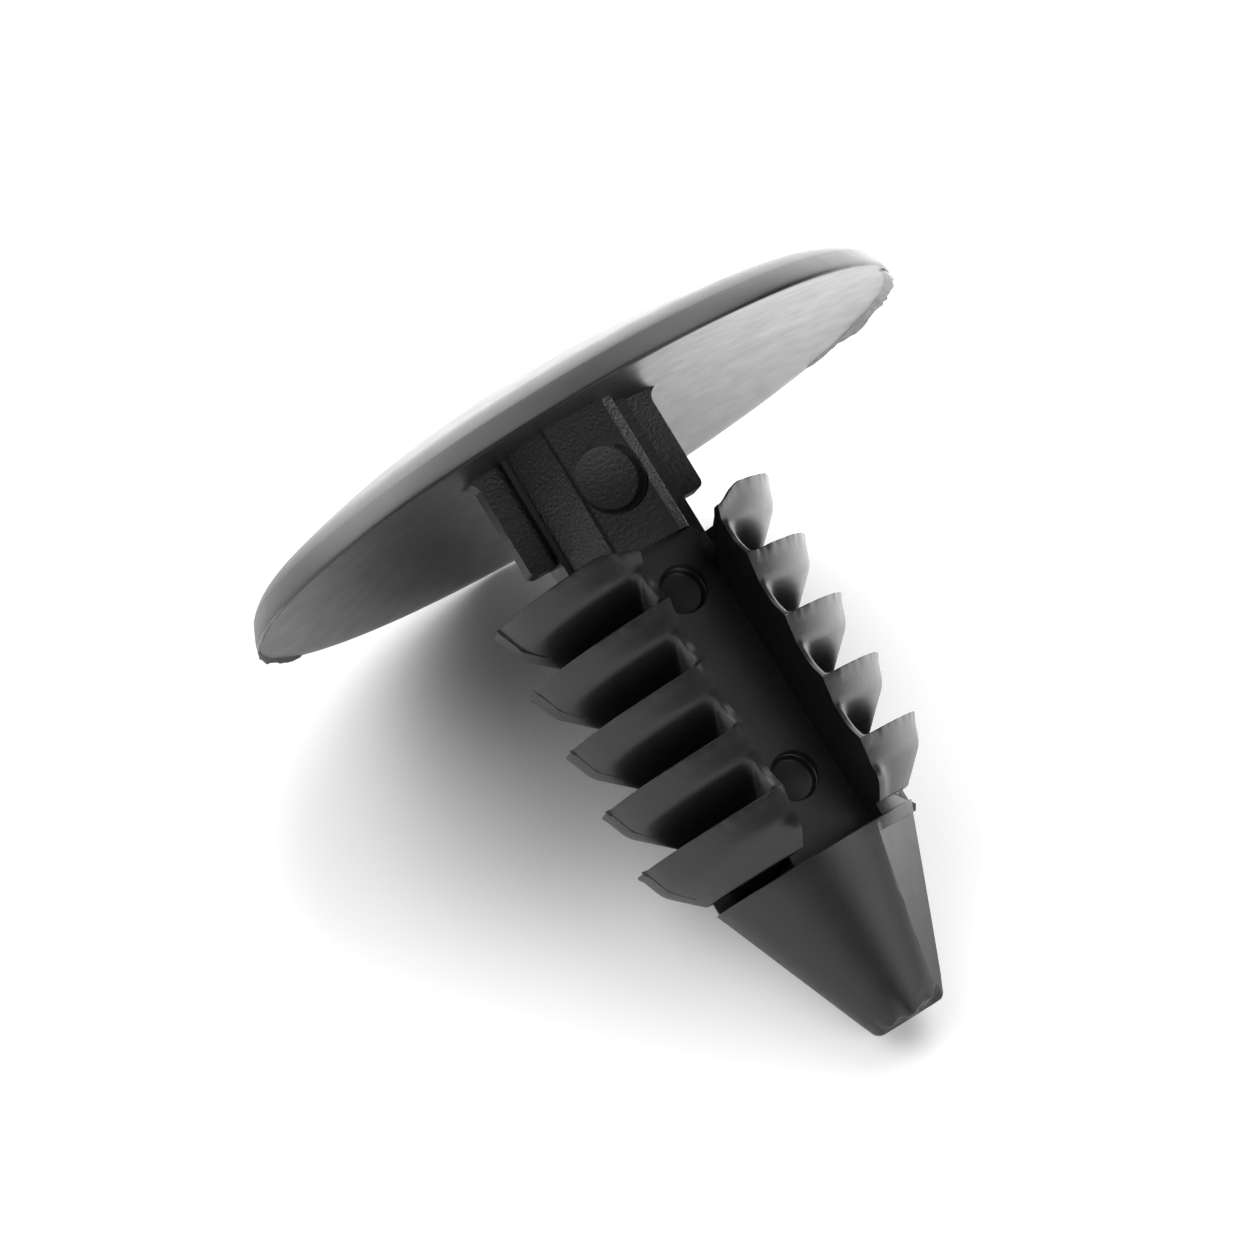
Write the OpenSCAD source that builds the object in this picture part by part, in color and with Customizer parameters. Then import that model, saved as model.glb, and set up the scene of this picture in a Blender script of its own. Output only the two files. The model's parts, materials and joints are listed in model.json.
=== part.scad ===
// Fir tree clip: a push-in trim fastener moulded in one piece.
// It is drawn upright, rim plane at zero, head up and marked face towards -Y,
// and the last module lays it down on its rim and nose, as it comes to rest.

/* [Head] */
// Diameter of the head at its rim
head_d = 25; // [20:0.5:30]
// Radius of the dome on top
dome_r = 37; // [32:1:60]
// Radius of the rounding between dome and rim
edge_r = 1.8; // [1.4:0.1:2.4]
// Depth of the centre of that rounding below the rim plane
edge_drop = 0.35; // [0.1:0.05:0.6]
// Width of the flat ring at the rim
rim_land = 0.3; // [0.2:0.05:0.8]
// Depth of the dished underside
dish_depth = 1.3; // [0.6:0.1:1.6]
// Width of the flat that the trimmed gate leaves at the back of the rim
gate_w = 3; // [1:0.2:4]

/* [Shank] */
// Width of the bar under the head, side to side
bar_w = 2.8; // [2.2:0.1:3]
// Depth of the bar, front to back
bar_depth = 5.2; // [4.8:0.1:6]
// Width of the wings beside the bar
wing_w = 4.4; // [3.6:0.1:5]
// Thickness of the wings
wing_t = 1.4; // [1:0.1:2]
// Width over the two standoff ears
ear_w = 7; // [5.6:0.1:8]
// Thickness of the ears
ear_t = 0.7; // [0.5:0.05:1]
// Distance from the rim plane down to the ears' ends
ear_drop = 2.65; // [2:0.05:3.2]
// Radius of the ears' lower corners
ear_corner_r = 0.25; // [0.1:0.05:0.6]
// Radius of the fillets between the ears and the head
ear_fillet = 0.5; // [0.2:0.05:0.7]

/* [Fins] */
// Number of fin rows
fin_rows = 5; // [3:1:7]
// Distance from the rim plane down to the first fin's rim
fin_start = 3.62; // [3.4:0.01:4.5]
// Distance from one fin's rim to the next
fin_pitch = 2.33; // [2:0.01:2.8]
// Diameter over the fins' rims
fin_d = 10.74; // [9:0.02:12]
// Height of the steep band under each rim
band_h = 1; // [0.7:0.05:1.2]
// Amount by which the band draws in on each side
band_in = 0.37; // [0.2:0.01:0.6]
// Angle of the fins' cones from the clip's axis
cone_a = 46.5; // [40:0.5:52]
// Width of the flat top of a fin's rim
lip_w = 0.4; // [0.2:0.05:0.6]

/* [Core and slots] */
// Width of the slots on the front and back
slot_w = 3.1; // [3:0.1:3.6]
// Depth of the core between the slot floors, front to back
core_depth = 4.4; // [3.6:0.1:4.6]
// Diameter of the round core that carries the fins
core_d = 4.4; // [3.6:0.1:4.6]
// Thickness of the webs that close the fins' gaps beside the slots
web_t = 0.45; // [0.3:0.05:0.7]
// Amount by which the webs draw in from one fin to the next
web_in = 0.32; // [0:0.02:0.6]
// Distance from the first fin's rim down to the top of the slot floors
face_drop = 0.22; // [0.1:0.02:0.6]

/* [Nose] */
// Diameter of the nose at its base
nose_d = 7.6; // [6:0.1:8]
// Length of the nose
nose_l = 6.2; // [5:0.1:8]
// Diameter of the blunt tip before rounding
tip_d = 2.6; // [1.8:0.1:3]
// Radius of the rounding of the tip
tip_round = 0.35; // [0.2:0.05:0.8]
// Gap between the last fin's band and the nose's shoulder
nose_gap = 1.44; // [1.2:0.02:2]
// Thickness of the full lip above the nose's flats
nose_lip = 0.42; // [0.3:0.02:0.8]
// Depth of the two flats under that lip
nose_flat = 0.42; // [0.3:0.02:0.6]
// Lean of the flats from the clip's axis
nose_flat_lean = 18.3; // [17:0.1:21]
// Direction of the first flat, turned from the front towards the right
nose_flat_a = 46; // [35:1:60]

/* [Ejector marks] */
// Diameter of the mark on the bar
bar_mark_d = 2.5; // [1.6:0.1:2.6]
// Diameter of the two marks on the slot floor
slot_mark_d = 1.8; // [1.2:0.1:2.4]
// Depth of the marks
mark_depth = 0.15; // [0.05:0.01:0.2]
// Width of the sloping wall round each mark
mark_wall = 0.2; // [0.05:0.05:0.3]
// Distance from the rim plane down to the bar's mark
bar_mark_drop = 1.3; // [1.25:0.05:2]
// Distance from the first fin's rim down to the upper slot mark
upper_mark_drop = 2.1; // [1.4:0.05:3]
// Distance from the last fin's rim up to the lower slot mark
lower_mark_rise = 0.06; // [0:0.02:1]

/* [Hidden] */
$fn = 60;
eps = 0.01;
head_r = head_d / 2;
fin_r = fin_d / 2;
core_r = core_d / 2;
nose_r = nose_d / 2;
tip_r = tip_d / 2;
slot_r = slot_w / 2;
ear_r = ear_w / 2;
reach = head_d;
dome_fn = 200;
nylon = [0.10, 0.10, 0.11];

// Rounded edge of the head: the circle meets the rim plane at the rim
edge_x = head_r - sqrt(edge_r * edge_r - edge_drop * edge_drop);
dome_z = -edge_drop - sqrt(pow(dome_r - edge_r, 2) - edge_x * edge_x);
dome_top = dome_z + dome_r;
dome_end = edge_x * dome_r / (dome_r - edge_r);
dish_r = (pow(head_r - rim_land, 2) + dish_depth * dish_depth) / (2 * dish_depth);
dish_z = dish_depth - dish_r;
dish_at_ear = dish_z + sqrt(dish_r * dish_r - ear_r * ear_r);
stem_top = dish_depth + (dome_top - dish_depth) / 2;
gate_y = sqrt(head_r * head_r - gate_w * gate_w / 4);

// Levels along the clip, downwards from the rim plane
last_rim = fin_start + (fin_rows - 1) * fin_pitch;
face_top = fin_start + face_drop;
shoulder = last_rim + band_h + nose_gap;
tip_end = shoulder + nose_l;
band_r = fin_r - band_in;
lip_r = fin_r - lip_w;
web_r = fin_r - web_in;
web_foot = band_h + nose_gap / 2;
cone_in = tan(cone_a);
lip_drop = (lip_r - core_r) / cone_in;
cone_drop = band_h + (band_r - core_r) / cone_in;

// Tip of the nose: a circle that touches the cone and the end face
nose_a = atan((nose_r - tip_r) / nose_l);
lip_end_r = nose_r - nose_lip * tan(nose_a);
tip_x = tip_r - tip_round * tan(45 - nose_a / 2);
tip_z = tip_end - tip_round;
tip_steps = 8;

// Rest on the gate's flat and the tip: a line from the flat that touches the tip's circle
gate_to_tip = sqrt(pow(gate_y - tip_x, 2) + tip_z * tip_z);
tilt = atan2(gate_y - tip_x, tip_z) - asin(tip_round / gate_to_tip);
lift = gate_y * cos(tilt);
back_y = edge_x * sin(tilt) - edge_drop * cos(tilt) + edge_r;
front_y = -tip_x * sin(tilt) - tip_z * cos(tilt) - tip_round;

// Outline of the head, from the axis outwards
module head_outline() {
    difference() {
        union() {
            intersection() {
                translate([0, dome_z]) circle(r = dome_r, $fn = dome_fn);
                square([dome_end, 2 * dome_top]);
            }
            intersection() {
                translate([edge_x, -edge_drop]) circle(r = edge_r);
                translate([edge_x, 0]) square([2 * edge_r, 2 * edge_r]);
            }
        }
        translate([0, dish_z]) circle(r = dish_r, $fn = dome_fn);
    }
}

// Head with the gate's flat at the back of its rim
module head() {
    difference() {
        rotate_extrude() head_outline();
        translate([-gate_w, gate_y, -dish_depth]) cube([2 * gate_w, head_r, 2 * dome_top]);
    }
}

// A bar on the axis between two levels below the rim plane
module bar(width, depth, top, bottom) {
    translate([-width / 2, -depth / 2, -bottom]) cube([width, depth, bottom - top]);
}

// Concave fillet between an ear's side and the head's underside
module ear_fillet_outline() {
    translate([ear_r, dish_at_ear - ear_fillet]) difference() {
        translate([-eps, 0]) square([ear_fillet + eps, ear_fillet + stem_top - dish_depth]);
        translate([ear_fillet, 0]) circle(r = ear_fillet);
    }
}

// Standoff ears: a thin plate with rounded lower corners
module ears() {
    corner_x = ear_r - ear_corner_r;
    rotate([90, 0, 0]) linear_extrude(height = ear_t, center = true) union() {
        translate([-corner_x, -ear_drop]) square([2 * corner_x, ear_drop + stem_top]);
        translate([-ear_r, ear_corner_r - ear_drop])
            square([ear_w, ear_drop - ear_corner_r + stem_top]);
        for (side = [-1, 1])
            translate([side * corner_x, ear_corner_r - ear_drop]) circle(r = ear_corner_r);
        ear_fillet_outline();
        mirror([1, 0]) ear_fillet_outline();
    }
}

module shank() {
    bar(bar_w, bar_depth, -stem_top, face_top);
    bar(wing_w, wing_t, -stem_top, face_top + fin_pitch);
    ears();
}

// One fin: a conical blade that leans out towards the head, with a steep outer band
module fin_outline(rim) {
    polygon([
        [0, -rim - lip_drop],
        [core_r, -rim - lip_drop],
        [lip_r, -rim],
        [fin_r, -rim],
        [band_r, -rim - band_h],
        [core_r, -rim - cone_drop],
        [0, -rim - cone_drop]
    ]);
}

// The last fin stops at the nose's shoulder
module last_fin_outline() {
    drop = shoulder - last_rim;
    polygon([
        [lip_r - drop * cone_in, -shoulder],
        [lip_r, -last_rim],
        [fin_r, -last_rim],
        [band_r, -last_rim - band_h],
        [band_r - nose_gap * cone_in, -shoulder]
    ]);
}

// Outline of the webs over one fin, down to the next fin's rim
module web_outline(rim) {
    polygon([
        [0, -rim - lip_drop],
        [core_r, -rim - lip_drop],
        [lip_r, -rim],
        [fin_r, -rim],
        [web_r, -rim - fin_pitch],
        [0, -rim - fin_pitch - lip_drop]
    ]);
}

// Outline of the webs under the last fin, down to the nose's shoulder
module last_web_outline() {
    polygon([
        [lip_r - (shoulder - last_rim) * cone_in, -shoulder],
        [lip_r, -last_rim],
        [fin_r, -last_rim],
        [band_r, -last_rim - web_foot],
        [nose_r, -shoulder]
    ]);
}

// The slice of the clip that holds the slots and the webs beside them
module middle_slice() {
    translate([-slot_r - web_t, -reach, -tip_end]) cube([slot_w + 2 * web_t, 2 * reach, tip_end]);
}

module fins() {
    difference() {
        rotate_extrude() {
            for (row = [0 : fin_rows - 2]) fin_outline(fin_start + row * fin_pitch);
            last_fin_outline();
        }
        middle_slice();
    }
}

// Webs beside the slots: the middle slice of a filled revolve, with the slots cut out
module webs() {
    difference() {
        intersection() {
            rotate_extrude() {
                for (row = [0 : fin_rows - 2]) web_outline(fin_start + row * fin_pitch);
                last_web_outline();
            }
            middle_slice();
        }
        slots();
    }
}

module core() {
    bar(slot_w, core_depth, face_top - eps, shoulder + eps);
    translate([0, 0, -shoulder - eps]) cylinder(r = core_r, h = shoulder + eps - face_top);
}

// Slots on the front and back, open at the first fin's rim, down to the nose's shoulder
module slots() {
    for (side = [-1, 1])
        translate([-slot_r, side > 0 ? core_depth / 2 : -reach, -shoulder - eps])
            cube([slot_w, reach - core_depth / 2, shoulder]);
}

// Half outline of the nose: a cone, then an arc that touches it and the end face
module nose_outline() {
    arc = [for (i = [0 : tip_steps]) nose_a + (90 - nose_a) * i / tip_steps];
    polygon(concat(
        [[0, -shoulder], [nose_r, -shoulder]],
        [for (a = arc) [tip_x + tip_round * cos(a), -tip_z - tip_round * sin(a)]],
        [[0, -tip_end]]
    ));
}

// Nose with a leaning flat on two opposite sides, under a full lip
module nose() {
    difference() {
        rotate_extrude() nose_outline();
        for (side = [0, 180])
            rotate([0, 0, nose_flat_a + side]) intersection() {
                translate([0, nose_flat - lip_end_r, -shoulder - nose_lip])
                    rotate([nose_flat_lean, 0, 0]) translate([-nose_r, -nose_r, -2 * nose_l])
                        cube([2 * nose_r, nose_r, 4 * nose_l]);
                translate([-nose_r, -2 * nose_r, -tip_end - nose_l])
                    cube([2 * nose_r, 2 * nose_r, nose_l + tip_end - shoulder - nose_lip]);
            }
    }
}

// A round mark with a sloping wall, sunk in a front face at a given depth
module mark(diameter, drop, face_y) {
    translate([0, -face_y + mark_depth, -drop]) rotate([90, 0, 0])
        cylinder(d1 = diameter - 2 * mark_wall, d2 = diameter + 2 * mark_wall, h = 2 * mark_depth);
}

module marks() {
    mark(bar_mark_d, bar_mark_drop, bar_depth / 2);
    mark(slot_mark_d, fin_start + upper_mark_drop, core_depth / 2);
    mark(slot_mark_d, last_rim - lower_mark_rise, core_depth / 2);
}

module upright_clip() {
    difference() {
        union() {
            head();
            shank();
            fins();
            webs();
            core();
            nose();
        }
        marks();
    }
}

// Lays the clip on its rim and nose, marked face up and nose towards -Y
module fir_tree_clip() {
    color(nylon)
        translate([0, -(front_y + back_y) / 2, lift])
            rotate([tilt - 90, 0, 0]) upright_clip();
}

fir_tree_clip();
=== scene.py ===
import json
import math

import bpy
from mathutils import Matrix, Vector, noise


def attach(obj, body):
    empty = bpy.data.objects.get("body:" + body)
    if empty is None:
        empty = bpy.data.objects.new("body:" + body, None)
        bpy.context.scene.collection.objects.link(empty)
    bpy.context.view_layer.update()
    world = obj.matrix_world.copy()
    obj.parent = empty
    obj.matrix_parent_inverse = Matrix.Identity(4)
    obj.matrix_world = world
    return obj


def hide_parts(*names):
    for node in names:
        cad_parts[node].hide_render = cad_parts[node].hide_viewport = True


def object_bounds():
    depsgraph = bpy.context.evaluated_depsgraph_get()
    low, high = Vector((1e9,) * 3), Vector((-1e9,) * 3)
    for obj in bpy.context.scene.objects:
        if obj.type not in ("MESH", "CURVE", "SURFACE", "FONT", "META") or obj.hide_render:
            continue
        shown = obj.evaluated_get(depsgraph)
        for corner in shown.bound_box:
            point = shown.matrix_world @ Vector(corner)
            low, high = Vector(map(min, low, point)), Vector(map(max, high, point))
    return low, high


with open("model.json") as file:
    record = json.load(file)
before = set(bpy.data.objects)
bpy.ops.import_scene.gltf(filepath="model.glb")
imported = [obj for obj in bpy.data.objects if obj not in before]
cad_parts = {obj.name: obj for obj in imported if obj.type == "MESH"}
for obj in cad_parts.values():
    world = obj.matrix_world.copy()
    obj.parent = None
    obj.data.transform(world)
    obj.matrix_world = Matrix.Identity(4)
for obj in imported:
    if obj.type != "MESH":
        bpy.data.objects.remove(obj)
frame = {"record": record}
cad_box = [list(map(float, corner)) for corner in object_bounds()]

NODE = "fir_tree_clip"
BODY = "root"

# Sizes are in millimetres, in the clip's upright frame: rim plane at zero, head up, front towards -Y
MM = 0.001
RIM_R = (cad_box[1][0] - cad_box[0][0]) / 2 / MM
RIM_INSET = 0.03
HEAD_R = RIM_R - RIM_INSET
DOME_R = 37
EDGE_R = 1.8
EDGE_DROP = 0.35
RIM_LAND = 0.3
DISH_DEPTH = 1.3
DISH_R = ((HEAD_R - RIM_LAND) ** 2 + DISH_DEPTH ** 2) / (2 * DISH_DEPTH)
GATE_W = 3
GATE_Y = math.sqrt(RIM_R ** 2 - GATE_W ** 2 / 4)
RIM_ROUND = 0.4
HEAD_COLUMNS = 360
DOME_STEPS = 36
EDGE_STEPS = 24
RIM_STEPS = 6

BAR_W = 2.8
BAR_DEPTH = 5.2
BAR_RIGHT = 1.5
BAR_CHAMFER = (0.5, 0.3)
BAR_ROUNDS = (0.1, 0.12, 0.1, 0.1)
BAR_SINK = 0.02
WING_W = 5
WING_T = 1.4
RIB_X = 2.3
EAR_W = 7
EAR_T = 0.7
EAR_DROP = 2.65
EAR_CORNER = 0.25
EAR_FILLET = 0.5
EAR_STEPS = (6, 8)
SHANK_TOP = 1.6

FIN_ROWS = 5
FIN_START = 3.62
FIN_PITCH = 2.33
FIN_R = 5.37
BAND_H = 1
BAND_IN = 0.37
CONE_SLOPE = math.tan(math.radians(46.5))
LIP_W = 0.4
CORE_R = 2.2
CORE_ROUND = 0.05
ROOT_ROUND = 0.2
FIN_ROUNDS = (ROOT_ROUND, 0.06, 0.05, 0.25)
FIN_FACET = 0.35
RIM_NEAR = 0.03
RIM_GRAIN = 0.05
RIM_GRAIN_SCALE = 4

# Degrees between the fins' columns and how many there are, from the slot's middle to the side
FIN_COLUMNS = ((5, 3), (0.8, 16), (1.6, 20), (3.4, 8))

SLOT_W = 3.1
CORE_DEPTH = 4.4
FACE_PROUD = 0.01
FACE_SINK = 0.03
WEB_T = 0.45
WEB_FOOT = 0.6
WEB_FILLET = 0.5
WEB_ROUND = 0.2
WEB_FACET = 0.05
DIP_DEPTH = 0.45
DIP_REACH = 1.3
DIP_ABOVE = 0.1
FACE_TOP = FIN_START + 0.22

NOSE_R = 3.8
NOSE_L = 6.2
TIP_R = 1.3
TIP_ROUND = 0.35
NOSE_GAP = 1.44
GROOVE_H = 0.42
GROOVE_R = 2.25
GROOVE_END = 3.7
GROOVE_LEAN = 0.05
GROOVE_ROUNDS = (0.05, 0.1, 0.02)
GROOVE_TURN = (math.radians(76), math.radians(86))
NOSE_LIP = 0.42
NOSE_FLAT = 0.42
NOSE_FLAT_LEAN = math.radians(18.3)
NOSE_FLAT_TURN = math.radians(46)
NOSE_ROUND = 0.05
NOSE_FACET = 0.5
NOSE_COLUMNS = 120
TIP_STEPS = 8
TIP_WEAR = 0.6
TIP_CHIP = (0.1, 0.2)
TIP_CHIP_SCALE = 2.2
TIP_CHIP_CONTRAST = 1.2

MARK_DEPTH = 0.2
MARK_EDGE = 0.004
MARK_OVER = 0.2
MARK_STEPS = 10
MARK_COLUMNS = 72
BAR_MARK = {"radius": 1.3, "x": -0.17, "drop": 1.2, "wall": 0.25, "tilt": (3, -3)}
UPPER_MARK = {"radius": 0.85, "x": 0.08, "drop": FIN_START + 2.05, "wall": 0.15, "tilt": (-6, -8)}

LAST_RIM = FIN_START + (FIN_ROWS - 1) * FIN_PITCH
SHOULDER = LAST_RIM + BAND_H + NOSE_GAP
TIP_END = SHOULDER + NOSE_L
BAND_R = FIN_R - BAND_IN
LIP_R = FIN_R - LIP_W
LIP_DROP = (LIP_R - CORE_R) / CONE_SLOPE
CONE_DROP = BAND_H + (BAND_R - CORE_R) / CONE_SLOPE
LOWER_MARK = {"radius": 0.85, "x": 0, "drop": LAST_RIM - 0.1, "wall": 0.15, "tilt": (-6, -9)}

# How far parts that are joined run into each other, what counts as the same place,
# and the most of a stretch that one rounded corner takes
SINK = 0.05
NEAR = 0.01
HAIR = 0.001
TINY = 1e-6
CORNER_SHARE = 0.45

# Strength of the coarse grain, how far out from the bar it reaches, the least upright normal of a level face,
# and how much paler the grain makes a face, as painted sheen for light caught by it, more on the lit right
# ear than the left
EAR_GRAIN_AND_SHEEN = {"right": 1, "left": 0.4}
CHAMFER_GRAIN_AND_SHEEN = 1
BAR_GRAIN_AND_SHEEN = 0.15
FLASH_GRAIN = 0.5
GRAIN_REACH = 0.1
LEVEL_FACE = 0.8
GRAIN_SHEEN_TINT = 0.14

# Skins on the rim: where they start and end in degrees from the front towards the right, how far they
# reach, how much they lean out, and how far inside the rim they stand
RIM_FILMS = (
    {"start": 230, "end": 284, "reach": 0.3, "out": 0.5, "inset": 0.12, "seed": 3},
    {"start": 58, "end": 112, "reach": 0.45, "out": 0.8, "inset": 0.28, "seed": 7},
)

# How deep a skin's root stands in the clip and its shares of the thickness at the root and the edge,
# then the torn edge: the mean, least and waving height, how its lean sways, and how it ends and fades
FILM_ROOT = 0.06
FILM_SHARES = (0.5, 0.3)
RIM_FILM_T = 0.1
RIM_FILM_SINK = 0.03
RIM_FILM_TINT = 1
TEAR_SPAN = 5
TEAR_MEAN = 0.9
TEAR_LEAST = 0.15
TEAR_WAVES = ((0.6, 0.6), (3, 0.2))
TEAR_SWAY = (1.5, 0.2)
TEAR_END = 0.4
TEAR_FADE = 0.5

# Skins of the parting plane: places in X and Z from the fin's rim or the nose's shoulder, and their widths
PARTING_T = 0.09
PARTING_TINT = 0.15
BEAK = ((-0.12, 0), (0, -0.02), (-0.03, -0.12), (-0.08, -0.25))
BEAK_WIDTHS = (0.02, 0.26, 0.18)
BEAK_TAIL = {"long": 0.06, "short": 0.01}
BEAK_RUN = 0.7
BEAK_SMALL = 0.45
BEAK_SIZE = (0.8, 0.5)
BEAK_SPREAD = 1.7
BEAK_SEED = 0.5
SHOULDER_SKIN = ((-0.05, -0.02), (-0.06, -0.12), (-0.1, -0.28), (-0.16, -0.4))
SHOULDER_WIDTHS = (0.3, 0.42, 0.34, 0.02)
NOSE_SKIN = (0.9, 1.2, 1.5, 1.75, 2, 2.1)
NOSE_SKIN_WIDTHS = (0.02, 0.14, 0.2, 0.17, 0.15, 0.01)

SHARP_EDGE = math.radians(32)

# Cells a millimetre of the nylon's two noises, the relief on smooth faces and what full grain adds to it,
# the least roughness with what the coarse noise and full grain add, the grey of thick nylon, and the paler
# grey of the skins and of the painted sheen on grained faces
FINE_NOISE = 9
COARSE_NOISE = 1.2
RELIEF = (0.005, 0.12)
ROUGHNESS = (0.3, 0.14, 0.2)
NYLON_GREY = 0.01
PALE_SKIN_AND_SHEEN_GREY = 0.45

# Camera, fitted to the photograph: it looks down on the clip from the front left
CAMERA_AIM = Vector((0, 0, 10)) * MM
CAMERA_AZIMUTH = math.radians(-33.256)
CAMERA_ELEVATION = math.radians(51.653)
CAMERA_ROLL = math.radians(-1.884)
CAMERA_DISTANCE = 110.87 * MM
CAMERA_RIGHT = -2.044 * MM
CAMERA_UP = -0.582 * MM
SENSOR = 36
LENS = 2.6683 * SENSOR

# Painted light on the floor, a glow for one kind of ray: a point in millimetres, how far from it the glow
# starts, where it is full, and its strength. The camera sees the floor lifted to white away from the clip's
# shadow, and reflections see it brighter than white on the right
PAINTED_FLOOR_GLOW = {
    "Is Glossy Ray": ((-150, -60, 0), 162, 182, 2),
    "Is Camera Ray": ((-4.5, 7.8, 0), 6, 17, 0.24),
}
FLOOR_SIZE = 4
FLOOR_GREY = 0.9

# Softboxes round the clip: azimuth from the front towards the right, elevation and brightness
SOFTBOXES = (
    (135, 4, 3.4), (180, 4, 4.6), (225, 4, 3.9), (315, 4, 0.3), (22.5, 30, 2.05),
    (157.5, 30, 1.3), (202.5, 30, 1.6), (120, 57, 2.9), (240, 57, 2.45),
)
SOFTBOX_EDGE = (math.cos(math.radians(32)), math.cos(math.radians(12)))


def clip_pose():
    """Matrix from the clip's upright frame in millimetres to the row frame, from the record's mounts."""
    mounts = {mount["name"]: mount for mount in frame["record"]["mounts"]}
    seat = mounts["trim_seat"]
    up = -Vector(seat["axis"]).normalized()
    across = Vector((1, 0, 0))
    turn = Matrix((across, up.cross(across), up)).transposed()
    centre = Vector(seat["pos_m"])
    centre.x = 0
    return Matrix.Translation(centre) @ (turn * MM).to_4x4()


def round_corners(points, reaches, steps=4):
    """Replaces each inner corner of a polyline with a curve that starts at its reach from the corner."""
    points = [Vector(point) for point in points]
    out = [points[0]]
    for before, corner, after, reach in zip(points, points[1:], points[2:], reaches):
        back = before - corner
        ahead = after - corner
        start = corner + back.normalized() * min(reach, back.length * CORNER_SHARE)
        end = corner + ahead.normalized() * min(reach, ahead.length * CORNER_SHARE)
        for i in range(steps + 1):
            t = i / steps
            out.append(start * (1 - t) ** 2 + corner * (2 * t * (1 - t)) + end * t ** 2)
    return out + [points[-1]]


def divide(points, longest):
    """Adds points so that no stretch of a polyline is longer than the given length."""
    out = [points[0]]
    for a, b in zip(points, points[1:]):
        count = max(1, math.ceil((b - a).length / longest))
        out += [a.lerp(b, (i + 1) / count) for i in range(count)]
    return out


def arc(centre, radius, start, end, steps):
    angles = [start + (end - start) * i / steps for i in range(steps + 1)]
    return [Vector((centre[0] + radius * math.cos(a), centre[1] + radius * math.sin(a))) for a in angles]


def make_object(name, vertices, faces):
    mesh = bpy.data.meshes.new(name)
    mesh.from_pydata(vertices, [], faces)
    mesh.validate()
    result = bpy.data.objects.new(name, mesh)
    bpy.context.scene.collection.objects.link(result)
    return result


def revolve(name, outline, angles, shape=None):
    """Closed mesh of revolution. The outline runs from the axis to the axis, from the top down."""
    count = len(angles)
    vertices = [(0, 0, outline[0].y)]
    for index, point in enumerate(outline[1:-1], 1):
        for angle in angles:
            r, z = shape(index, point, angle) if shape else point
            vertices.append((r * math.sin(angle), -r * math.cos(angle), z))
    vertices.append((0, 0, outline[-1].y))
    last = len(vertices) - 1
    faces = []
    for i in range(count):
        j = (i + 1) % count
        faces.append((0, 1 + i, 1 + j))
        faces.append((last, last - count + j, last - count + i))
        for row in range(len(outline) - 3):
            a = 1 + row * count
            faces.append((a + i, a + count + i, a + count + j, a + j))
    return make_object(name, vertices, faces)


def prism(name, outline, depth, place=Matrix.Identity(4)):
    """Solid with an outline in X and Z, centred on Y."""
    count = len(outline)
    vertices = [place @ Vector((p[0], side * depth / 2, p[1])) for side in (-1, 1) for p in outline]
    faces = [tuple(range(count)), tuple(range(2 * count - 1, count - 1, -1))]
    faces += [(i, i + count, (i + 1) % count + count, (i + 1) % count) for i in range(count)]
    return make_object(name, vertices, faces)


def block(name, low, high, place=Matrix.Identity(4)):
    outline = [(low[0], low[2]), (high[0], low[2]), (high[0], high[2]), (low[0], high[2])]
    middle = Matrix.Translation((0, (low[1] + high[1]) / 2, 0))
    return prism(name, outline, high[1] - low[1], place @ middle)


def combine(target, tool, operation):
    """Joins the tool to the target, or cuts it away, and removes the tool."""
    modifier = target.modifiers.new("combine", "BOOLEAN")
    modifier.solver = "MANIFOLD"
    modifier.operation = operation
    modifier.object = tool
    apply_modifiers(target)
    bpy.data.objects.remove(tool)


def apply_modifiers(part):
    graph = bpy.context.evaluated_depsgraph_get()
    mesh = bpy.data.meshes.new_from_object(part.evaluated_get(graph))
    part.modifiers.clear()
    part.data = mesh


def even_angles(count):
    return [2 * math.pi * i / count for i in range(count)]


def make_head():
    edge_x = HEAD_R - math.sqrt(EDGE_R ** 2 - EDGE_DROP ** 2)
    rise = math.sqrt((DOME_R - EDGE_R) ** 2 - edge_x ** 2)
    turn = math.atan2(rise, edge_x)
    dome = arc((0, -EDGE_DROP - rise), DOME_R, math.pi / 2, turn, DOME_STEPS)
    edge = arc((edge_x, -EDGE_DROP), EDGE_R, turn, math.asin(EDGE_DROP / EDGE_R), EDGE_STEPS)
    inner = HEAD_R - RIM_LAND
    lean = math.asin(inner / DISH_R)
    dish = arc((0, DISH_DEPTH - DISH_R), DISH_R, math.pi / 2 - lean, math.pi / 2, DOME_STEPS)
    side = EDGE_STEPS // 2 + 1
    rim = round_corners([edge[side], edge[-1], dish[0], dish[2]], (RIM_ROUND, RIM_LAND), RIM_STEPS)
    outline = dome + edge[1:side + 1] + rim[1:-1] + dish[2:]
    head = revolve("head", outline, even_angles(HEAD_COLUMNS))
    combine(head, block("gate", (-GATE_W, GATE_Y, -1), (GATE_W, 2 * GATE_Y, GATE_W)), "DIFFERENCE")
    return head


def fin_angles():
    """Columns round the fins, closer together where the webs meet the grooves."""
    quarter = [0]
    for step, count in FIN_COLUMNS:
        quarter += [quarter[-1] + step * (i + 1) for i in range(count)]
    half = quarter + [180 - a for a in reversed(quarter)]
    return [math.radians(a) for a in half[:-1] + [180 + a for a in half[:-1]]]


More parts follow.
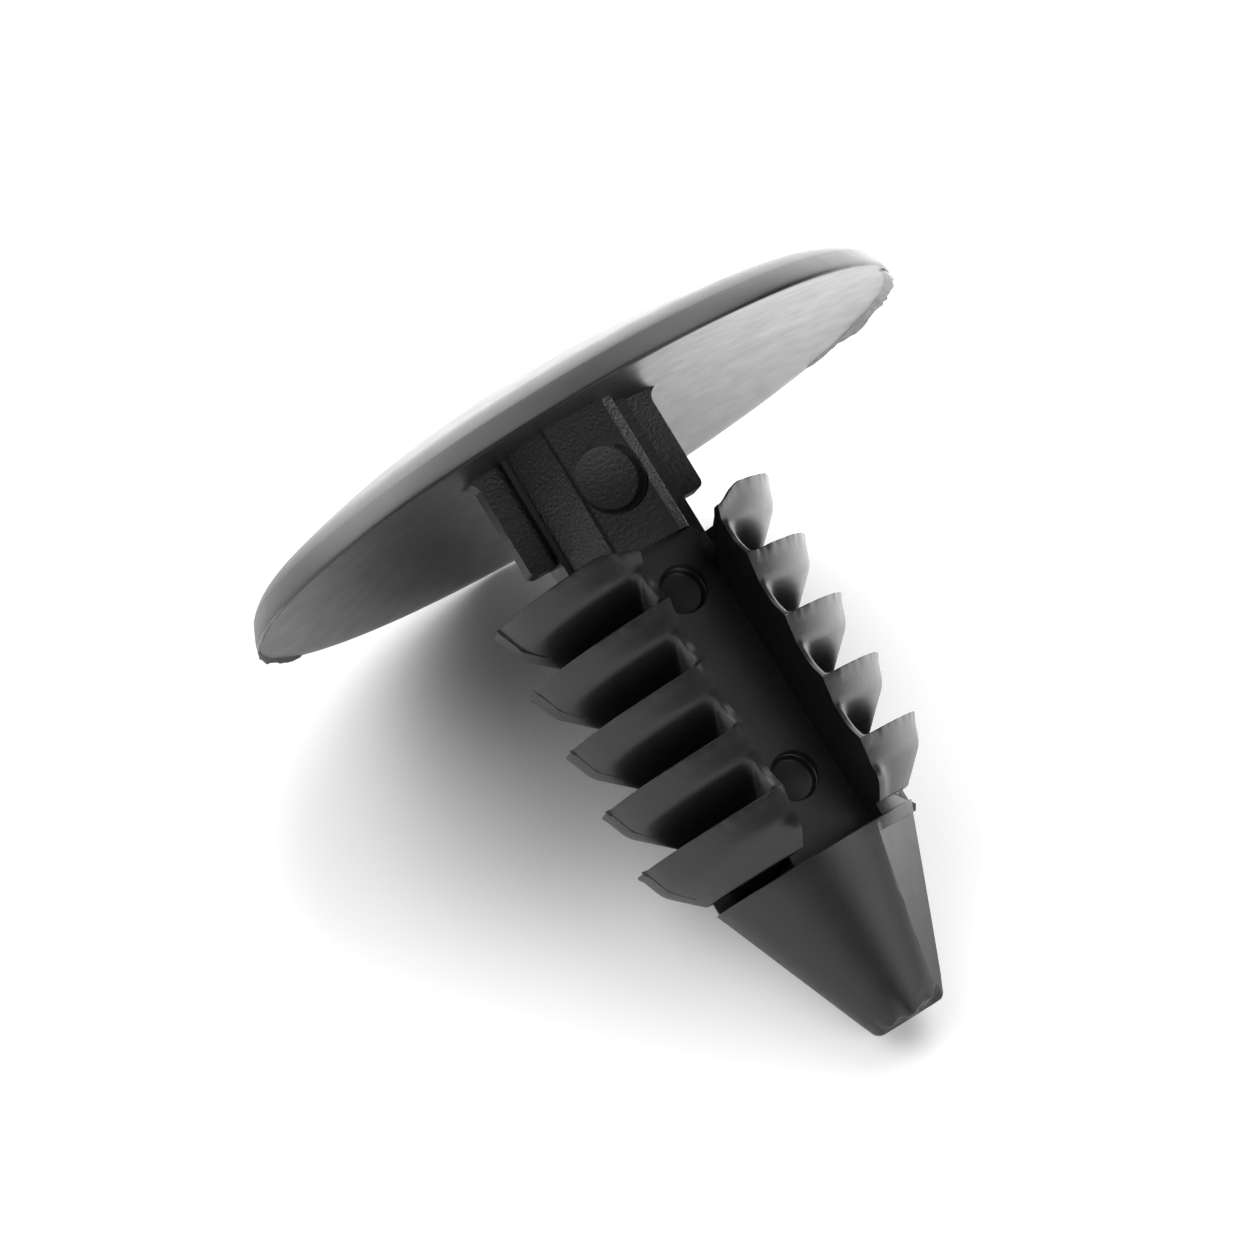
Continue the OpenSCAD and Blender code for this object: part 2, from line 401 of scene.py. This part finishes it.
def make_fins():
    """Core, fins and webs. Each gap between two fins fills up towards the slots, with rounded ends."""
    corners = [(0, -FACE_TOP), (CORE_R, -FACE_TOP)]
    reaches = [CORE_ROUND]
    for row in range(FIN_ROWS):
        rim = FIN_START + row * FIN_PITCH
        corners += [(CORE_R, -rim - LIP_DROP), (LIP_R, -rim), (FIN_R, -rim), (BAND_R, -rim - BAND_H)]
        reaches += FIN_ROUNDS
        if row < FIN_ROWS - 1:
            corners.append((CORE_R, -rim - CONE_DROP))
            reaches.append(ROOT_ROUND)
    floor = -SHOULDER - SINK
    under = (BAND_R - (NOSE_GAP - GROOVE_H) * CONE_SLOPE, GROOVE_H - SHOULDER)
    corners += [under, (GROOVE_R, under[1] - GROOVE_LEAN), (GROOVE_R, floor), (0, floor)]
    reaches += GROOVE_ROUNDS
    outline = divide(round_corners(corners, reaches), FIN_FACET)
    targets = web_targets(outline)
    rims = {i for i, point in enumerate(outline) if point.x > FIN_R - RIM_NEAR}

    def shape(index, point, angle):
        side = abs(math.sin(angle))
        r, z = slide_to_web(point, targets[index], side)
        if z < under[1] + HAIR and GROOVE_R - NEAR < r < GROOVE_END:
            open_share = ease((angle % math.pi - GROOVE_TURN[0]) / (GROOVE_TURN[1] - GROOVE_TURN[0]))
            r = GROOVE_END + (r - GROOVE_END) * open_share
        depth = -FIN_START - z
        if -DIP_ABOVE < depth < BAND_H and r > CORE_R + ROOT_ROUND:
            near = 1 - ease((r * side - SLOT_W / 2) / DIP_REACH)
            z -= DIP_DEPTH * near * (1 - ease(depth / BAND_H))
        if r > FIN_R - RIM_NEAR and index in rims:
            around = RIM_GRAIN_SCALE * r
            grain = noise.noise(Vector((around * math.sin(angle), around * math.cos(angle), z)))
            r += RIM_GRAIN * ease(0.5 + grain)
        return r, z

    return revolve("fins", outline, fin_angles(), shape)


def ease(t):
    t = min(max(t, 0), 1)
    return t * t * (3 - 2 * t)


def slide_to_web(point, target, side):
    """Moves a point of a gap out to the web, as far as the web's flat end, with rounded edges."""
    if target is None:
        return point
    x = point.x * side
    room = target.x * side - x
    if room < TINY:
        return target
    wall = SLOT_W / 2 + WEB_T - WEB_FILLET / 4
    step = max(wall - x, 0) + max(WEB_FILLET - abs(x - wall), 0) ** 2 / (4 * WEB_FILLET)
    step = min(step, room) - max(WEB_ROUND - abs(step - room), 0) ** 2 / (4 * WEB_ROUND)
    return point.lerp(target, max(step, 0) / room)


def web_targets(outline):
    """For each point between two fins its place on a web: down from the band, then out to the next rim."""
    targets = [None] * len(outline)
    for row in range(FIN_ROWS):
        rim = -FIN_START - row * FIN_PITCH
        top = Vector((BAND_R, rim - BAND_H))
        last = row == FIN_ROWS - 1
        foot_r = NOSE_R + WEB_FOOT / 2 if last else FIN_R
        foot_z = GROOVE_H - SHOULDER if last else rim - FIN_PITCH
        path = [top, Vector((BAND_R, foot_z + WEB_FOOT)), Vector((foot_r, foot_z))]
        start = min(range(len(outline)), key=lambda i: (outline[i] - top).length)
        if last:
            end = next(i for i in range(start, len(outline)) if outline[i].y <= foot_z + NEAR)
        else:
            end = min(range(start, len(outline)), key=lambda i: (outline[i] - path[-1]).length)
        path = divide(round_corners(path, [WEB_FOOT / 2]), WEB_FACET)
        lengths = [0]
        for i in range(start, end):
            lengths.append(lengths[-1] + (outline[i + 1] - outline[i]).length)
        for i, length in zip(range(start, end + 1), lengths):
            place = length / lengths[-1] * (len(path) - 1)
            low = min(int(place), len(path) - 2)
            targets[i] = path[low].lerp(path[low + 1], place - low)
    return targets


def make_ears():
    dish_z = DISH_DEPTH - DISH_R
    ear_x = EAR_W / 2
    under = dish_z + math.sqrt(DISH_R ** 2 - ear_x ** 2)
    fillet = arc((ear_x + EAR_FILLET, under - EAR_FILLET), EAR_FILLET, math.pi, math.pi / 2, EAR_STEPS[1])
    corner = arc((ear_x - EAR_CORNER, EAR_CORNER - EAR_DROP), EAR_CORNER, -math.pi / 2, 0, EAR_STEPS[0])
    right = corner + fillet + [Vector((ear_x + EAR_FILLET, SHANK_TOP))]
    left = [Vector((-p.x, p.y)) for p in reversed(right)]
    return prism("ears", right + left, EAR_T)


def post(name, outline, bottom, top):
    """Solid with an outline in X and Y, between two levels."""
    upright = Matrix.Translation((0, 0, (bottom + top) / 2)) @ Matrix.Rotation(-math.pi / 2, 4, "X")
    return prism(name, outline, top - bottom, upright)


def make_shank():
    front = -BAR_DEPTH / 2
    chamfer = Vector((BAR_RIGHT - BAR_CHAMFER[0], front)), Vector((BAR_RIGHT, front + BAR_CHAMFER[1]))
    half = [Vector((-RIB_X, 0)), Vector((-RIB_X, -WING_T / 2)), Vector((-BAR_W / 2, front)), *chamfer,
            Vector((BAR_RIGHT, 0))]
    half = round_corners(half, BAR_ROUNDS)
    outline = half + [-point for point in half]
    shank = post("bar", outline, -FACE_TOP - BAR_SINK, SHANK_TOP)
    low = (-WING_W / 2, -WING_T / 2, -FACE_TOP - FIN_PITCH)
    combine(shank, block("wings", low, (WING_W / 2, WING_T / 2, SHANK_TOP)), "UNION")
    combine(shank, make_ears(), "UNION")
    return shank


def make_nose():
    lean = math.atan((NOSE_R - TIP_R) / NOSE_L)
    tip_x = TIP_R - TIP_ROUND * math.tan(math.pi / 4 - lean / 2)
    tip = arc((tip_x, TIP_ROUND - TIP_END), TIP_ROUND, -lean, -math.pi / 2, TIP_STEPS)
    corners = [(0, -SHOULDER), (NOSE_R, -SHOULDER), tip[0]]
    outline = divide(round_corners(corners, [NOSE_ROUND]), NOSE_FACET) + tip[1:] + [Vector((0, -TIP_END))]

    def shape(index, point, angle):
        depth = ease((TIP_WEAR - TIP_END - point.y) / TIP_WEAR) * ease(0.5 + math.cos(angle))
        around = TIP_CHIP_SCALE * point.x
        grain = noise.noise(Vector((around * math.sin(angle), around * math.cos(angle), 0)))
        chip = ease(0.5 + TIP_CHIP_CONTRAST * grain) * depth
        return point.x - TIP_CHIP[0] * chip, point.y + TIP_CHIP[1] * chip

    nose = revolve("nose", outline, even_angles(NOSE_COLUMNS), shape)
    top = NOSE_FLAT - NOSE_R + NOSE_LIP * math.tan(lean)
    for side in (0, math.pi):
        place = Matrix.Rotation(NOSE_FLAT_TURN + side, 4, "Z")
        place @= Matrix.Translation((0, top, -SHOULDER - NOSE_LIP))
        low = (-NOSE_R, -NOSE_R, -2 * NOSE_L)
        cutter = block("flat", low, (NOSE_R, 0, NOSE_R), place @ Matrix.Rotation(NOSE_FLAT_LEAN, 4, "X"))
        reach = (-2 * NOSE_R, -2 * NOSE_R, -SHOULDER - NOSE_LIP)
        combine(cutter, block("lip", reach, (2 * NOSE_R, 2 * NOSE_R, NOSE_R)), "DIFFERENCE")
        combine(nose, cutter, "DIFFERENCE")
    return nose


def mark_cutter(mark, face_y):
    """Shallow round recess with a soft wall, as an ejector pin leaves, a little out of square."""
    outline = [Vector((0, MARK_DEPTH))]
    for i in range(MARK_STEPS + 1):
        t = i / MARK_STEPS
        depth = MARK_DEPTH * (1 - ease(t)) - MARK_EDGE * t
        outline.append(Vector((mark["radius"] - mark["wall"] * (1 - t), depth)))
    outline += [Vector((mark["radius"] + MARK_OVER / 2, -MARK_OVER)), Vector((0, -MARK_OVER))]
    cutter = revolve("mark", outline, even_angles(MARK_COLUMNS))
    tilt = [math.radians(angle) for angle in mark["tilt"]]
    place = Matrix.Translation((mark["x"], face_y, -mark["drop"])) @ Matrix.Rotation(-math.pi / 2, 4, "X")
    place @= Matrix.Rotation(tilt[0], 4, "X") @ Matrix.Rotation(tilt[1], 4, "Y")
    cutter.data.transform(place)
    return cutter


def make_clip():
    clip = make_fins()
    for side in (-1, 1):
        ends = sorted((side * CORE_DEPTH / 2, side * HEAD_R))
        low = (-SLOT_W / 2, ends[0], -SHOULDER)
        combine(clip, block("slot", low, (SLOT_W / 2, ends[1], 0)), "DIFFERENCE")
    face_y = CORE_DEPTH / 2 + FACE_PROUD
    low = (-SLOT_W / 2, -face_y, -SHOULDER - FACE_SINK)
    combine(clip, block("middle", low, (SLOT_W / 2, face_y, -FACE_TOP)), "UNION")
    combine(clip, make_nose(), "UNION")
    combine(clip, make_shank(), "UNION")
    combine(clip, make_head(), "UNION")
    combine(clip, mark_cutter(BAR_MARK, -BAR_DEPTH / 2), "DIFFERENCE")
    combine(clip, mark_cutter(UPPER_MARK, -CORE_DEPTH / 2), "DIFFERENCE")
    combine(clip, mark_cutter(LOWER_MARK, -CORE_DEPTH / 2), "DIFFERENCE")
    clip.name = "clip_body"
    grain = [spark_grain_and_sheen(face) for face in clip.data.polygons]
    add_attribute(clip, "spark", "FACE", grain)
    # Painted sheen: grained faces get a paler base colour for light caught by the grain, more on the lit
    # right ear
    add_attribute(clip, "thin", "FACE", [GRAIN_SHEEN_TINT * strength for strength in grain])
    return clip


def add_attribute(part, name, domain, values):
    part.data.attributes.new(name, "FLOAT", domain).data.foreach_set("value", values)


def spark_grain_and_sheen(face):
    """Strength of the coarse grain on a face, which also sets its painted sheen: most on the right ear and
    the bar's chamfers.
    """
    place = face.center
    if place.z < -FACE_TOP or place.z > DISH_DEPTH or (place.z > 0 and abs(face.normal.z) > LEVEL_FACE):
        return 0
    if abs(place.y) < EAR_T and WING_W / 2 < abs(place.x) < EAR_W / 2 + EAR_FILLET:
        return EAR_GRAIN_AND_SHEEN["right" if place.x > 0 else "left"]
    if abs(place.y) > BAR_DEPTH / 2 + GRAIN_REACH or abs(place.x) > WING_W / 2:
        return 0
    on_chamfer = -place.x * place.y > (BAR_RIGHT - BAR_CHAMFER[0]) * BAR_DEPTH / 2
    return CHAMFER_GRAIN_AND_SHEEN if on_chamfer else BAR_GRAIN_AND_SHEEN


def film(edge, outs, widths, across, thickness):
    """Thin solid skin that stands out from a line of points on the clip."""
    vertices = []
    for point, out, width, normal in zip(edge, outs, widths, across):
        for reach, share in zip((-FILM_ROOT, width), FILM_SHARES):
            vertices += [point + out * reach + normal * thickness * share * side for side in (-1, 1)]
    faces = [(0, 1, 3, 2)]
    for i in range(0, len(vertices) - 4, 4):
        faces += [(i + a, i + a + 4, i + b + 4, i + b) for a, b in ((0, 2), (2, 3), (3, 1), (1, 0))]
    last = len(vertices) - 4
    faces.append((last, last + 2, last + 3, last + 1))
    return vertices, faces


def rim_film(start, end, reach, out, inset, seed):
    """Torn skin under the head's rim, between two angles from the front towards the right."""
    steps = 2 * (end - start)
    edge, outs, widths, across = [], [], [], []
    for i in range(steps + 1):
        t = i / steps
        angle = math.radians(start + (end - start) * t)
        radial = Vector((math.sin(angle), -math.cos(angle), 0))
        along = (end - start) * t / TEAR_SPAN
        torn = TEAR_MEAN
        for layer, (pitch, height) in enumerate(TEAR_WAVES):
            torn += height * noise.noise(Vector((pitch * along, seed, layer)))
        lean = out + TEAR_SWAY[1] * noise.noise(Vector((TEAR_SWAY[0] * along, seed, len(TEAR_WAVES))))
        edge.append(radial * (HEAD_R - inset) + Vector((0, 0, RIM_FILM_SINK)))
        outs.append(Vector((radial.x * lean, radial.y * lean, -1)).normalized())
        ends = math.sin(math.pi * t) ** TEAR_END * (1 - TEAR_FADE * t)
        widths.append(reach * max(TEAR_LEAST, torn) * ends)
        across.append((radial + Vector((0, 0, lean))).normalized())
    return film(edge, outs, widths, across, RIM_FILM_T)


def parting_film(profile, widths, side):
    """Skin in the plane between the halves of the mould, along a profile of X and Z."""
    profile = [Vector((side * x, 0, z)) for x, z in profile]
    outs = []
    for i in range(len(profile)):
        run = profile[min(i + 1, len(profile) - 1)] - profile[max(i - 1, 0)]
        outs.append(Vector((-side * run.z, 0, side * run.x)).normalized())
    return film(profile, outs, widths, [Vector((0, 1, 0))] * len(profile), PARTING_T)


def beak(row, side):
    """Skin on one side of a fin, widest at its rim. The left ones are small, apart from the first."""
    rim = -FIN_START - row * FIN_PITCH
    size = 1 if side > 0 or row == 0 else BEAK_SMALL
    size *= BEAK_SIZE[0] + BEAK_SIZE[1] * noise.noise(Vector((row * BEAK_SPREAD, side, BEAK_SEED)))
    profile = [(FIN_R + x, rim + z) for x, z in BEAK] + [(BAND_R, rim - BAND_H)]
    profile.append((BAND_R - BEAK_RUN, rim - BAND_H - BEAK_RUN / CONE_SLOPE))
    tail = BEAK_TAIL["long" if side < 0 and row == 0 else "short"]
    widths = [BEAK_WIDTHS[0], BEAK_WIDTHS[1] * size, BEAK_WIDTHS[2] * size, tail, tail, BEAK_TAIL["short"]]
    return parting_film(profile, widths, side)


def make_flash():
    """The thin skins that the mould left on the head's rim and along its parting plane."""
    parts = [rim_film(**place) for place in RIM_FILMS]
    parts += [beak(row, side) for side in (-1, 1) for row in range(FIN_ROWS)]
    parts.append(parting_film([(NOSE_R + x, z - SHOULDER) for x, z in SHOULDER_SKIN], SHOULDER_WIDTHS, 1))
    taper = (NOSE_R - TIP_R) / NOSE_L
    profile = [(NOSE_R - taper * depth, -SHOULDER - depth) for depth in NOSE_SKIN]
    parts.append(parting_film(profile, NOSE_SKIN_WIDTHS, 1))
    vertices, faces = [], []
    for points, loops in parts:
        faces += [tuple(i + len(vertices) for i in loop) for loop in loops]
        vertices += points
    flash = make_object("clip_flash", vertices, faces)
    places = [vertex.co for vertex in flash.data.vertices]
    tints = [RIM_FILM_TINT if place.x > FIN_R + 1 else PARTING_TINT for place in places]
    add_attribute(flash, "thin", "POINT", tints)
    add_attribute(flash, "spark", "POINT", [FLASH_GRAIN] * len(places))
    return flash


def finish_mesh(part):
    """Lays a part down with the clip and smooths its shading, except over sharp edges."""
    part.data.transform(clip_pose())
    part.data.shade_smooth()
    part.data.set_sharp_from_angle(angle=SHARP_EDGE)
    modifier = part.modifiers.new("level", "WEIGHTED_NORMAL")
    modifier.keep_sharp = True
    apply_modifiers(part)


def direction(azimuth, elevation):
    """Unit vector for an azimuth from the front towards the right and an elevation."""
    level = math.cos(elevation)
    return Vector((math.sin(azimuth) * level, -math.cos(azimuth) * level, math.sin(elevation)))


def add_camera():
    az, el, roll = CAMERA_AZIMUTH, CAMERA_ELEVATION, CAMERA_ROLL
    back = direction(az, el)
    level = Vector((math.cos(az), math.sin(az), 0))
    upright = back.cross(level)
    right = level * math.cos(roll) + upright * math.sin(roll)
    up = upright * math.cos(roll) - level * math.sin(roll)
    data = bpy.data.cameras.new("camera")
    data.sensor_width = SENSOR
    data.lens = LENS
    data.clip_start = MM
    camera = bpy.data.objects.new("camera", data)
    bpy.context.scene.collection.objects.link(camera)
    camera.matrix_world = Matrix((right, up, back)).transposed().to_4x4()
    camera.location = CAMERA_AIM + back * CAMERA_DISTANCE + right * CAMERA_RIGHT + up * CAMERA_UP
    bpy.context.scene.camera = camera


def add_world():
    """Dark room with softboxes, so that faces turned up stay black."""
    world = bpy.data.worlds.new("studio")
    world.use_nodes = True
    tree = world.node_tree
    place = tree.nodes.new("ShaderNodeTexCoord")
    total = None
    for azimuth, elevation, strength in SOFTBOXES:
        dot = tree.nodes.new("ShaderNodeVectorMath")
        dot.operation = "DOT_PRODUCT"
        dot.inputs[1].default_value = direction(math.radians(azimuth), math.radians(elevation))
        tree.links.new(place.outputs["Generated"], dot.inputs[0])
        spot = tree.nodes.new("ShaderNodeMapRange")
        spot.interpolation_type = "SMOOTHSTEP"
        spot.inputs["From Min"].default_value = SOFTBOX_EDGE[0]
        spot.inputs["From Max"].default_value = SOFTBOX_EDGE[1]
        spot.inputs["To Max"].default_value = strength
        tree.links.new(dot.outputs["Value"], spot.inputs["Value"])
        if total:
            add = tree.nodes.new("ShaderNodeMath")
            tree.links.new(total, add.inputs[0])
            tree.links.new(spot.outputs["Result"], add.inputs[1])
            total = add.outputs[0]
        else:
            total = spot.outputs["Result"]
    background = tree.nodes["Background"]
    background.inputs["Color"].default_value = (1, 1, 1, 1)
    tree.links.new(total, background.inputs["Strength"])
    bpy.context.scene.world = world


def add_floor():
    bpy.ops.mesh.primitive_plane_add(size=FLOOR_SIZE)
    floor = bpy.context.object
    floor.name = "floor"
    material = bpy.data.materials.new("pale_floor_painted_glow")
    material.use_nodes = True
    tree = material.node_tree
    shader = tree.nodes["Principled BSDF"]
    shader.inputs["Base Color"].default_value = (FLOOR_GREY, FLOOR_GREY, FLOOR_GREY, 1)
    shader.inputs["Roughness"].default_value = 0.9
    shader.inputs["Specular IOR Level"].default_value = 0.1
    path = tree.nodes.new("ShaderNodeLightPath")
    place = tree.nodes.new("ShaderNodeNewGeometry")
    total = None
    # Painted light: the floor glows for the camera away from the clip's shadow, and for reflections on the
    # right
    for ray, (centre, start, end, strength) in PAINTED_FLOOR_GLOW.items():
        away = tree.nodes.new("ShaderNodeVectorMath")
        away.operation = "DISTANCE"
        away.inputs[1].default_value = Vector(centre) * MM
        tree.links.new(place.outputs["Position"], away.inputs[0])
        share = tree.nodes.new("ShaderNodeMapRange")
        share.interpolation_type = "SMOOTHSTEP"
        share.inputs["From Min"].default_value = start * MM
        share.inputs["From Max"].default_value = end * MM
        share.inputs["To Max"].default_value = strength
        tree.links.new(away.outputs["Value"], share.inputs["Value"])
        glow = tree.nodes.new("ShaderNodeMath")
        glow.operation = "MULTIPLY_ADD"
        tree.links.new(path.outputs[ray], glow.inputs[0])
        tree.links.new(share.outputs["Result"], glow.inputs[1])
        if total:
            tree.links.new(total, glow.inputs[2])
        else:
            glow.inputs[2].default_value = 0
        total = glow.outputs[0]
    shader.inputs["Emission Color"].default_value = (1, 1, 1, 1)
    tree.links.new(total, shader.inputs["Emission Strength"])
    floor.data.materials.append(material)


def nylon():
    """Black nylon, dark and satin, with a fine grain that is coarser on the spark-eroded faces. Its skins are
    a paler grey, and the spark-eroded faces are painted paler towards it as painted sheen.
    """
    material = bpy.data.materials.new("moulded_nylon")
    material.use_nodes = True
    tree = material.node_tree
    shader = tree.nodes["Principled BSDF"]
    shader.inputs["IOR"].default_value = 1.53
    place = tree.nodes.new("ShaderNodeTexCoord")
    fine = tree.nodes.new("ShaderNodeTexNoise")
    fine.inputs["Scale"].default_value = FINE_NOISE / MM
    fine.inputs["Detail"].default_value = 3
    coarse = tree.nodes.new("ShaderNodeTexNoise")
    coarse.inputs["Scale"].default_value = COARSE_NOISE / MM
    coarse.inputs["Detail"].default_value = 4
    for texture in (fine, coarse):
        tree.links.new(place.outputs["Object"], texture.inputs["Vector"])
    mask = tree.nodes.new("ShaderNodeAttribute")
    mask.attribute_name = "spark"
    thin = tree.nodes.new("ShaderNodeAttribute")
    thin.attribute_name = "thin"
    # Base colour goes towards the paler grey: the skins' own tone, and painted sheen on the grained faces
    tint = tree.nodes.new("ShaderNodeMix")
    tint.data_type = "RGBA"
    tint.inputs["A"].default_value = (NYLON_GREY, NYLON_GREY, NYLON_GREY, 1)
    tint.inputs["B"].default_value = (PALE_SKIN_AND_SHEEN_GREY, PALE_SKIN_AND_SHEEN_GREY, PALE_SKIN_AND_SHEEN_GREY, 1)
    tree.links.new(thin.outputs["Fac"], tint.inputs["Factor"])
    tree.links.new(tint.outputs["Result"], shader.inputs["Base Color"])
    rough = tree.nodes.new("ShaderNodeMath")
    rough.operation = "MULTIPLY_ADD"
    rough.inputs[1].default_value = ROUGHNESS[1]
    rough.inputs[2].default_value = ROUGHNESS[0]
    tree.links.new(coarse.outputs["Fac"], rough.inputs[0])
    rougher = tree.nodes.new("ShaderNodeMath")
    rougher.operation = "MULTIPLY_ADD"
    rougher.inputs[1].default_value = ROUGHNESS[2]
    tree.links.new(mask.outputs["Fac"], rougher.inputs[0])
    tree.links.new(rough.outputs[0], rougher.inputs[2])
    tree.links.new(rougher.outputs[0], shader.inputs["Roughness"])
    relief = tree.nodes.new("ShaderNodeMath")
    relief.operation = "MULTIPLY_ADD"
    relief.inputs[1].default_value = RELIEF[1] * MM
    relief.inputs[2].default_value = RELIEF[0] * MM
    tree.links.new(mask.outputs["Fac"], relief.inputs[0])
    bump = tree.nodes.new("ShaderNodeBump")
    tree.links.new(fine.outputs["Fac"], bump.inputs["Height"])
    tree.links.new(relief.outputs[0], bump.inputs["Distance"])
    tree.links.new(bump.outputs["Normal"], shader.inputs["Normal"])
    return material


add_camera()
add_world()
add_floor()

surface = nylon()
for part in (make_clip(), make_flash()):
    finish_mesh(part)
    part.data.materials.clear()
    part.data.materials.append(surface)
    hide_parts(NODE)
    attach(part, BODY)

bpy.context.scene.view_settings.view_transform = "Standard"
